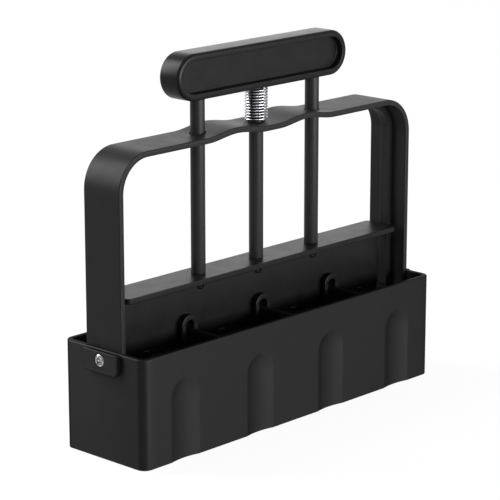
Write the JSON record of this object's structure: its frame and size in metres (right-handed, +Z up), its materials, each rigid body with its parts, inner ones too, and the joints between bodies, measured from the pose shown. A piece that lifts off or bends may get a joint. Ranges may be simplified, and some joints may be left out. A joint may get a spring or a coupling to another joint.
{
  "type": "soil blocker",
  "caption": "Hand soil blocker: a row of square open cells under a strap frame, with a sprung press bar, rods and a grip that push the blocks out.",
  "frame": {"origin": "centre of the mould box's bottom rim, on the surface it stands on", "axes": "+X along the row of cells, +Z up towards the grip, the grip's recess faces -Y"},
  "size_m": [0.2208, 0.0556, 0.1912],
  "materials": {
    "box_plastic": "black moulded ABS with a soft gloss",
    "frame_plastic": "black moulded ABS with a soft gloss",
    "bar_plastic": "black moulded ABS with a soft gloss",
    "foot_plastic": "black moulded ABS with a soft gloss",
    "grip_plastic": "black moulded ABS with a soft gloss",
    "rod_metal": "round steel bar with a smooth black coat",
    "screw_steel": "zinc-plated steel",
    "pin_steel": "plain steel dowel",
    "spring_steel": "bright spring steel wire"
  },
  "bodies": {
    "root": {"mould_box": "box_plastic", "carry_frame": "frame_plastic", "frame_screw_left": "screw_steel", "frame_screw_right": "screw_steel", "return_spring": "spring_steel"},
    "plunger": {"press_bar": "bar_plastic", "grip_bar": "grip_plastic", "press_foot_1": "foot_plastic", "press_foot_2": "foot_plastic", "press_foot_3": "foot_plastic", "press_foot_4": "foot_plastic", "dimple_peg_1": "foot_plastic", "dimple_peg_2": "foot_plastic", "dimple_peg_3": "foot_plastic", "dimple_peg_4": "foot_plastic", "push_rod_left": "rod_metal", "push_rod_middle": "rod_metal", "push_rod_right": "rod_metal", "rod_pin_left": "pin_steel", "rod_pin_middle": "pin_steel", "rod_pin_right": "pin_steel"}
  },
  "joints": [
    {"name": "plunge", "type": "slide", "parent": "root", "child": "plunger", "axis": [0, 0, -1], "range_m": [0, 0.0033], "stiffness_N_per_m": 600, "springref_m": -0.0065, "deforming": ["return_spring"]}
  ]
}
